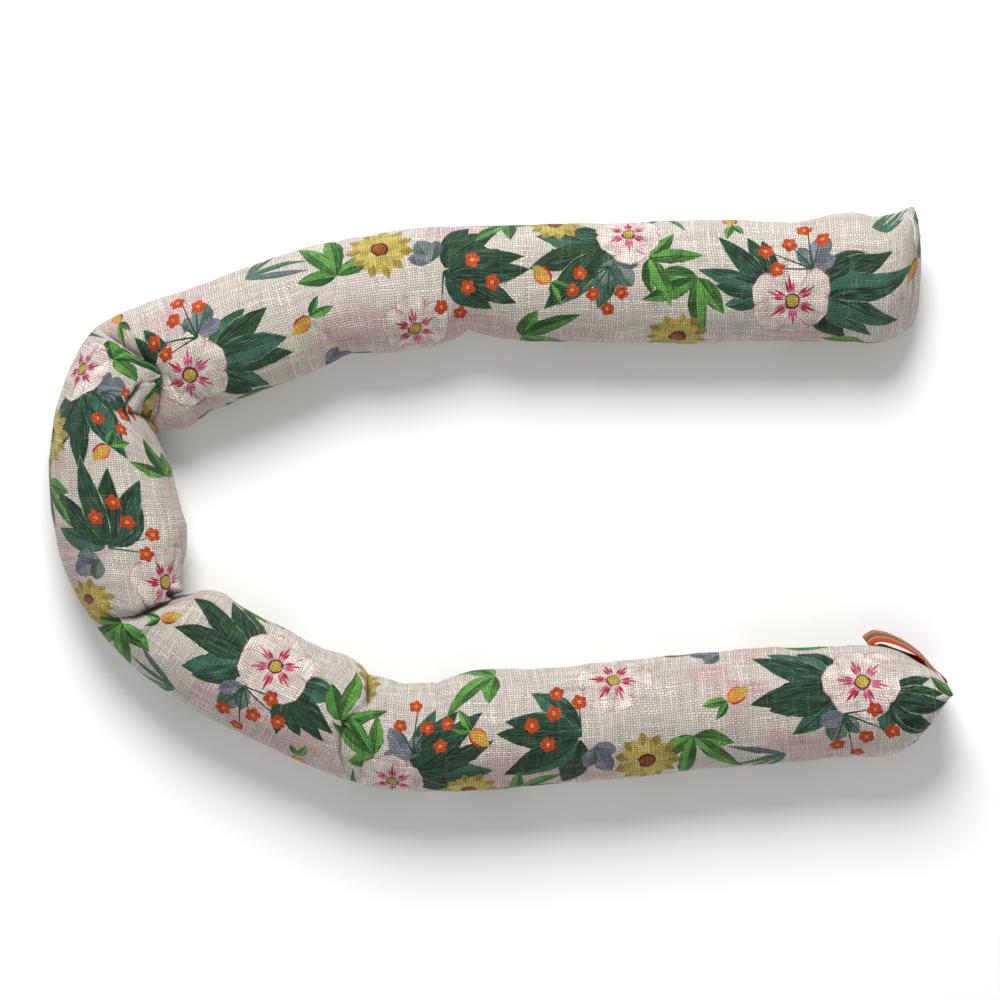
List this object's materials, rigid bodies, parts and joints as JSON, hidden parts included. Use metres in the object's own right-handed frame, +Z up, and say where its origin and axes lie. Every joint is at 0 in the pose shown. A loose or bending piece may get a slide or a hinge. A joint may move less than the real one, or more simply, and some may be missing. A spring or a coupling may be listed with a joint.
{
  "type": "draught excluder",
  "caption": "Draught excluder: a filled tube of printed linen, bent into a U as it lies, with a ribbon hanging loop caught in one end seam.",
  "frame": {"origin": "middle of the object's footprint, on the surface it lies on", "axes": "+Z up; +X along the two arms towards the open side of the U; +Y from the arm with the ribbon towards the arm without it"},
  "size_m": [0.45, 0.2922, 0.051],
  "materials": {
    "printed_linen": null,
    "orange_ribbon": "ribbed grosgrain ribbon, orange with a grey-brown centre stripe"
  },
  "bodies": {
    "root": {"casing": "printed_linen", "ribbon_loop": "orange_ribbon"}
  },
  "joints": []
}
